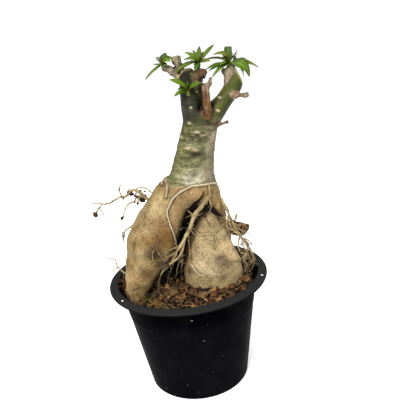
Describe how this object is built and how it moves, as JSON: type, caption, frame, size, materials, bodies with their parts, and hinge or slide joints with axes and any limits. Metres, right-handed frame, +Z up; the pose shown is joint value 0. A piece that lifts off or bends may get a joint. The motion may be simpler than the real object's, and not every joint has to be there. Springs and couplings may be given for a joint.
{
  "type": "potted desert rose adenium",
  "caption": "Desert rose with a swollen caudex split into lobes, a short trunk with cut stems, leaf rosettes and hanging roots, standing in a round black nursery pot of bark mix.",
  "frame": {"origin": "middle of the pot's flat underside, on the surface that the pot stands on", "axes": "+Z up along the pot's axis, -Y towards the side that the picture shows, +X to its right"},
  "size_m": [0.2186, 0.2, 0.4186],
  "materials": {
    "pot_plastic": "black moulded plastic, satin flange, glossier wall with fine scratches and dust",
    "mix": "dark crumbly bark mix with tan and orange bark chips and bits of moss",
    "bark": "tan speckled caudex skin, grey-green wrinkled trunk bark, olive stems, dry brown stubs",
    "roots": "thin dry yellow-brown roots with crumbs of mix",
    "leaves": "glossy green leaf with a paler midrib",
    "bark_chips": "red-brown bark chip"
  },
  "bodies": {
    "root": {"pot": "pot_plastic", "potting_mix": "mix", "caudex_and_stems": "bark", "root_spray_left": "roots", "root_twig_left": "roots", "root_twig_low": "roots", "roots_cleft": "roots", "roots_right": "roots", "leaves_left": "leaves", "leaves_centre": "leaves", "leaves_low": "leaves", "leaves_right": "leaves", "bark_flake": "bark_chips", "bark_piece": "bark_chips"}
  },
  "joints": []
}
